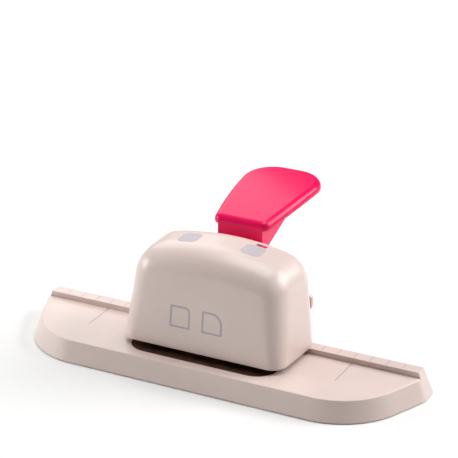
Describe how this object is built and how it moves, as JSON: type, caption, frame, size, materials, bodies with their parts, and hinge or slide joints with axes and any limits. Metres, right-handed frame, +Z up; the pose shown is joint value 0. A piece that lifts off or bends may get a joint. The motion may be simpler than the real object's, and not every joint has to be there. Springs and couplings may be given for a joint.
{
  "type": "corner rounder",
  "caption": "Lever-operated corner rounder: a punch head on a long ruler tray with a paper fence, a side stop, two corner dies, a lever lock and a chip door underneath.",
  "frame": {"origin": "on the table surface, under the middle of the object's overall box", "axes": "+X along the ruler fence to the user's right, +Y away from the user towards the lever pad, +Z up from the table"},
  "size_m": [0.252, 0.1412, 0.0874],
  "materials": {
    "cream_abs": "moulded cream ABS, semi-gloss with soft highlights",
    "pink_abs": "moulded raspberry pink ABS, glossy",
    "grey_plastic": "moulded mid-grey ABS, fine matt texture",
    "grip_rubber": "soft black elastomer, matt",
    "dark_steel": "hardened tool steel, ground and blackened",
    "plated_steel": "zinc-plated steel",
    "cast_zinc": "die-cast zinc, satin",
    "bronze": "sintered bronze"
  },
  "bodies": {
    "base": {"base_tray": "cream_abs", "bottom_cover": "grey_plastic", "door_pin": "plated_steel", "front_grip_strip": "grip_rubber", "rear_grip_strip": "grip_rubber", "side_feet": "grip_rubber", "die_plate": "dark_steel", "spacer_stop": "dark_steel", "guide_plate": "dark_steel", "guide_post_left": "plated_steel", "guide_post_right": "plated_steel", "post_clips": "plated_steel", "return_spring_left": "plated_steel", "return_spring_right": "plated_steel", "frame_cheek_left": "plated_steel", "frame_cheek_right": "plated_steel", "frame_screws": "plated_steel", "lever_axle": "plated_steel", "axle_clips": "plated_steel", "housing": "cream_abs", "unit_screws": "plated_steel", "housing_screws": "plated_steel", "cover_screws": "plated_steel"},
    "lever": {"lever": "pink_abs"},
    "punch": {"corner_punch_small": "dark_steel", "corner_punch_large": "dark_steel", "punch_carrier": "cast_zinc", "guide_bushes": "bronze"},
    "lock": {"lock_slide": "pink_abs", "lock_knob": "cream_abs"},
    "chip_door": {"chip_door": "grey_plastic"}
  },
  "joints": [
    {"name": "lever_press", "type": "hinge", "parent": "base", "child": "lever", "pos_m": [0, -0.04065, 0.0446], "axis": [-1, 0, 0], "range_deg": [0, 10], "stiffness_Nm_per_rad": 0.6, "springref_deg": -13.18},
    {"name": "punch_stroke", "type": "slide", "parent": "base", "child": "punch", "axis": [0, 0, -1], "range_m": [0, 0.0031], "deforming": ["return_spring_left", "return_spring_right"]},
    {"name": "lock_travel", "type": "slide", "parent": "base", "child": "lock", "axis": [-1, 0, 0], "range_m": [0, 0.0022]},
    {"name": "door_swing", "type": "hinge", "parent": "base", "child": "chip_door", "pos_m": [0, -0.04675, 0.0042], "axis": [-1, 0, 0], "range_deg": [0, 85]}
  ],
  "couplings": [
    {"joint": "punch_stroke", "follows": "lever_press", "m_per_rad": 0.0175}
  ]
}
